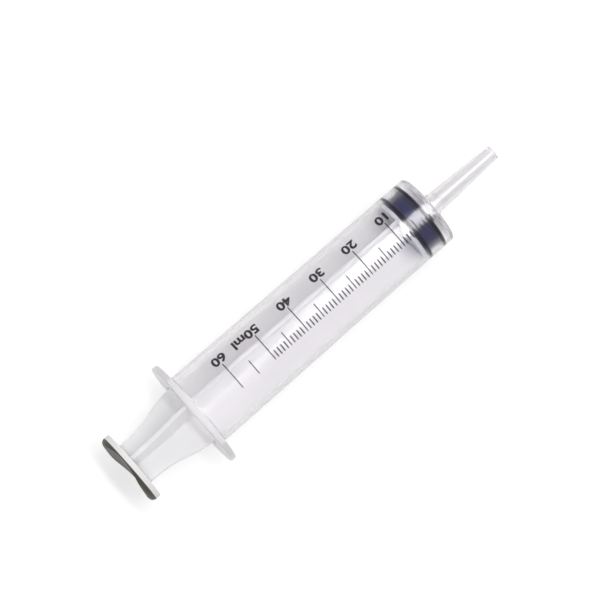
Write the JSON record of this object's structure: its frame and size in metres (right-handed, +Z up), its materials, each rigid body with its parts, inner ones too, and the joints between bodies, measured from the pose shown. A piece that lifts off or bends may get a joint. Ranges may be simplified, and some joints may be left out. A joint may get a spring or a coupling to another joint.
{
  "type": "catheter tip syringe",
  "caption": "Large syringe with a long tapered catheter tip, a flat-sided finger flange, a rubber seal and a cross-ribbed plunger rod, lying on its side.",
  "frame": {"origin": "centre of the bounding box's bottom, on the surface that the syringe lies on; the barrel's axis runs 17 mm above it", "axes": "+X along the barrel's axis towards the tip, +Y along the finger flange's wings, +Z up, towards the printed scale"},
  "size_m": [0.1884, 0.0468, 0.034],
  "materials": {
    "clear_plastic": "clear, polished polypropylene",
    "seal_rubber": "smooth navy rubber",
    "milky_plastic": "milky, satin polypropylene"
  },
  "bodies": {
    "barrel": {"barrel": "clear_plastic"},
    "seal": {"plunger_seal": "seal_rubber"},
    "rod": {"plunger_rod": "milky_plastic"}
  },
  "joints": [
    {"name": "plunger_slide", "type": "slide", "parent": "barrel", "child": "seal", "axis": [-1, 0, 0], "range_m": [0, 0.106]},
    {"name": "rod_spin", "type": "hinge", "parent": "seal", "child": "rod", "pos_m": [0.0492, 0, 0.017], "axis": [1, 0, 0], "continuous": true}
  ]
}
